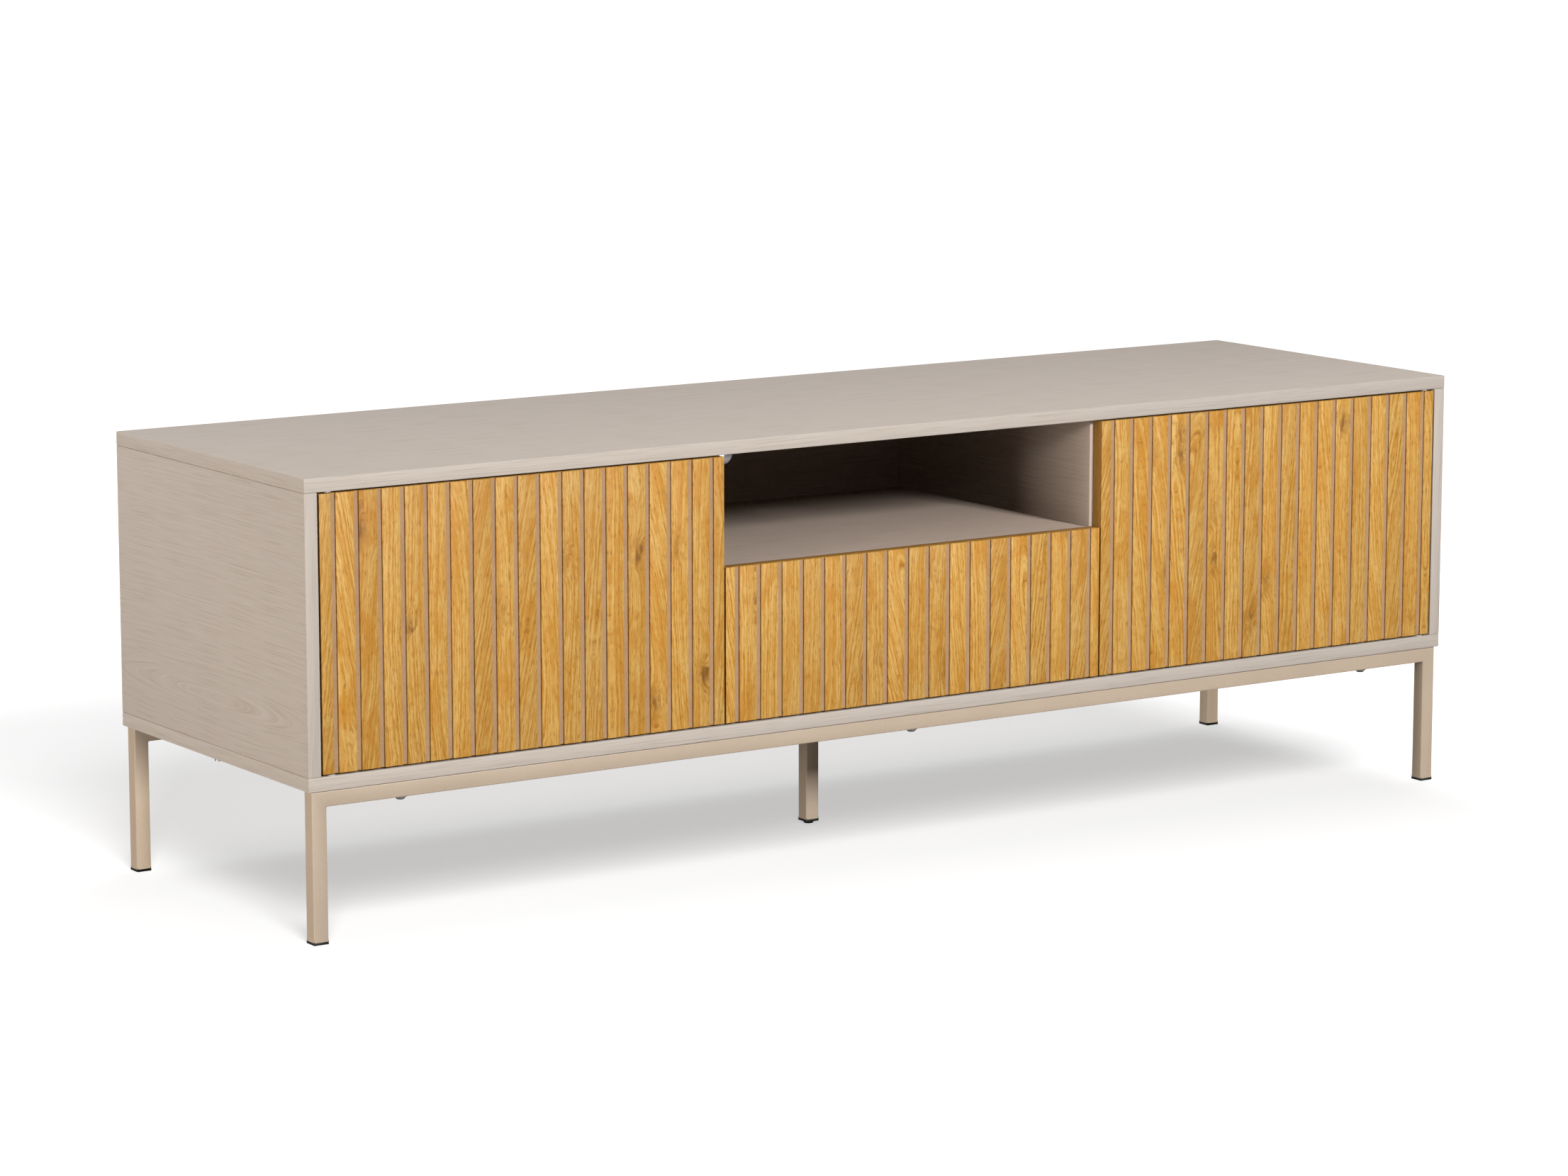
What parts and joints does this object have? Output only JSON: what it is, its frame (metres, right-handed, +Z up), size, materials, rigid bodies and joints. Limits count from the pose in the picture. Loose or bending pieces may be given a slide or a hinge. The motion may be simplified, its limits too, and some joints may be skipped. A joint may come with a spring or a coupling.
{
  "type": "media cabinet",
  "caption": "Low media cabinet with slatted oak push-to-open doors and drawer, an open niche with a cable hole, on square-tube leg frames.",
  "frame": {"origin": "on the floor under the centre of the carcass footprint", "axes": "+X to the right seen from the front, +Y to the back, +Z up"},
  "size_m": [1.6, 0.452, 0.512],
  "materials": {
    "beige_board": "beige woodgrain melamine, matt",
    "beige_back": "beige printed hardboard, matt",
    "oak_slat": "clear lacquered oak, satin",
    "front_mdf": "bare fibreboard, matt",
    "oak_edging": "lacquered oak edging, satin",
    "beech_dowel": "plain beech",
    "beige_steel": "fine textured powder coat, matt",
    "zinc_steel": "bright zinc plate",
    "runner_steel": "zinc plated sheet",
    "black_plastic": "fine matt black",
    "white_plastic": "satin white",
    "grey_plastic": "satin warm grey"
  },
  "bodies": {
    "cabinet": {"top_panel": "beige_board", "bottom_panel": "beige_board", "left_side_panel": "beige_board", "right_side_panel": "beige_board", "left_partition": "beige_board", "right_partition": "beige_board", "niche_shelf": "beige_board", "left_back_panel": "beige_back", "niche_back_panel": "beige_back", "right_back_panel": "beige_back", "cable_grommet": "grey_plastic", "left_bay_shelf": "beige_board", "right_bay_shelf": "beige_board", "shelf_pins": "zinc_steel", "wood_dowels": "beech_dowel", "cam_locks": "zinc_steel", "cam_bolts": "zinc_steel", "confirmat_screws": "zinc_steel", "front_leg_frame": "beige_steel", "rear_leg_frame": "beige_steel", "leg_end_caps": "black_plastic", "frame_screws": "zinc_steel", "centre_leg": "beige_steel", "centre_leg_cap": "black_plastic", "centre_leg_screws": "zinc_steel", "pivot_sockets": "white_plastic", "push_latch_bodies": "white_plastic", "push_latch_screws": "zinc_steel", "left_runner_cabinet_rail": "runner_steel", "right_runner_cabinet_rail": "runner_steel", "runner_cabinet_screws": "zinc_steel"},
    "left_door": {"left_door_board": "front_mdf", "left_door_slats": "oak_slat", "left_door_edging": "oak_edging", "left_door_pivot_pins": "zinc_steel", "left_door_strike": "zinc_steel"},
    "right_door": {"right_door_board": "front_mdf", "right_door_slats": "oak_slat", "right_door_edging": "oak_edging", "right_door_pivot_pins": "zinc_steel", "right_door_strike": "zinc_steel"},
    "drawer": {"drawer_front_board": "front_mdf", "drawer_front_slats": "oak_slat", "drawer_front_edging": "oak_edging", "drawer_left_side": "beige_board", "drawer_right_side": "beige_board", "drawer_back": "beige_board", "drawer_bottom": "beige_back", "drawer_cam_locks": "zinc_steel", "drawer_cam_bolts": "zinc_steel", "drawer_back_screws": "zinc_steel", "drawer_strike": "zinc_steel", "left_runner_drawer_rail": "runner_steel", "right_runner_drawer_rail": "runner_steel", "runner_drawer_screws": "zinc_steel"},
    "left_middle_rail": {"left_runner_middle_rail": "runner_steel"},
    "right_middle_rail": {"right_runner_middle_rail": "runner_steel"},
    "left_plunger": {"left_door_plunger": "white_plastic"},
    "right_plunger": {"right_door_plunger": "white_plastic"},
    "centre_plunger": {"drawer_plunger": "white_plastic"},
    "glide": {"levelling_glide": "black_plastic"}
  },
  "joints": [
    {"name": "left_door_hinge", "type": "hinge", "parent": "cabinet", "child": "left_door", "pos_m": [-0.77, -0.22, 0.341], "axis": [0, 0, -1], "range_deg": [0, 100]},
    {"name": "right_door_hinge", "type": "hinge", "parent": "cabinet", "child": "right_door", "pos_m": [0.77, -0.22, 0.341], "axis": [0, 0, 1], "range_deg": [0, 100]},
    {"name": "drawer_slide", "type": "slide", "parent": "cabinet", "child": "drawer", "axis": [0, -1, 0], "range_m": [0, 0.35]},
    {"name": "left_middle_rail_slide", "type": "slide", "parent": "cabinet", "child": "left_middle_rail", "axis": [0, -1, 0], "range_m": [0, 0.175]},
    {"name": "right_middle_rail_slide", "type": "slide", "parent": "cabinet", "child": "right_middle_rail", "axis": [0, -1, 0], "range_m": [0, 0.175]},
    {"name": "left_plunger_slide", "type": "slide", "parent": "cabinet", "child": "left_plunger", "axis": [0, -1, 0], "range_m": [0, 0.02]},
    {"name": "right_plunger_slide", "type": "slide", "parent": "cabinet", "child": "right_plunger", "axis": [0, -1, 0], "range_m": [0, 0.02]},
    {"name": "centre_plunger_slide", "type": "slide", "parent": "cabinet", "child": "centre_plunger", "axis": [0, -1, 0], "range_m": [0, 0.02]},
    {"name": "glide_turn", "type": "hinge", "parent": "cabinet", "child": "glide", "pos_m": [0, 0, 0], "axis": [0, 0, 1], "continuous": true}
  ],
  "couplings": [
    {"joint": "left_middle_rail_slide", "follows": "drawer_slide", "ratio": 0.5},
    {"joint": "right_middle_rail_slide", "follows": "drawer_slide", "ratio": 0.5},
    {"joint": "centre_plunger_slide", "follows": "drawer_slide", "ratio": 0.05},
    {"joint": "left_plunger_slide", "follows": "left_door_hinge", "m_per_rad": 0.011},
    {"joint": "right_plunger_slide", "follows": "right_door_hinge", "m_per_rad": 0.011}
  ]
}
